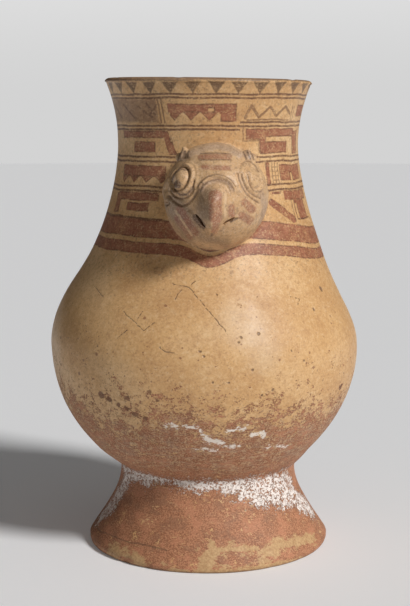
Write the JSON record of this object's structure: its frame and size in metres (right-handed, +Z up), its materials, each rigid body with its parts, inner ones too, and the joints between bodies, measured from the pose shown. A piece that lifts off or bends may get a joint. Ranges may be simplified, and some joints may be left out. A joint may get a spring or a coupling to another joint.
{
  "type": "footed vase",
  "caption": "Hand-built earthenware vase: a pear-shaped open bowl on a flared hollow ring foot, with a bird's head modelled on the front of the neck",
  "frame": {"origin": "on the table, under the middle of the vase's bounding box", "axes": "+Z up along the vase's height; the modelled head looks along -Y; +X is to the right of someone who faces it"},
  "size_m": [0.1988, 0.2096, 0.3009],
  "materials": {
    "painted_earthenware": "burnished buff slip with worn red-brown and dark-brown painted ornament, cracks and pale lime deposits"
  },
  "bodies": {
    "root": {"footed_vase": "painted_earthenware"}
  },
  "joints": []
}
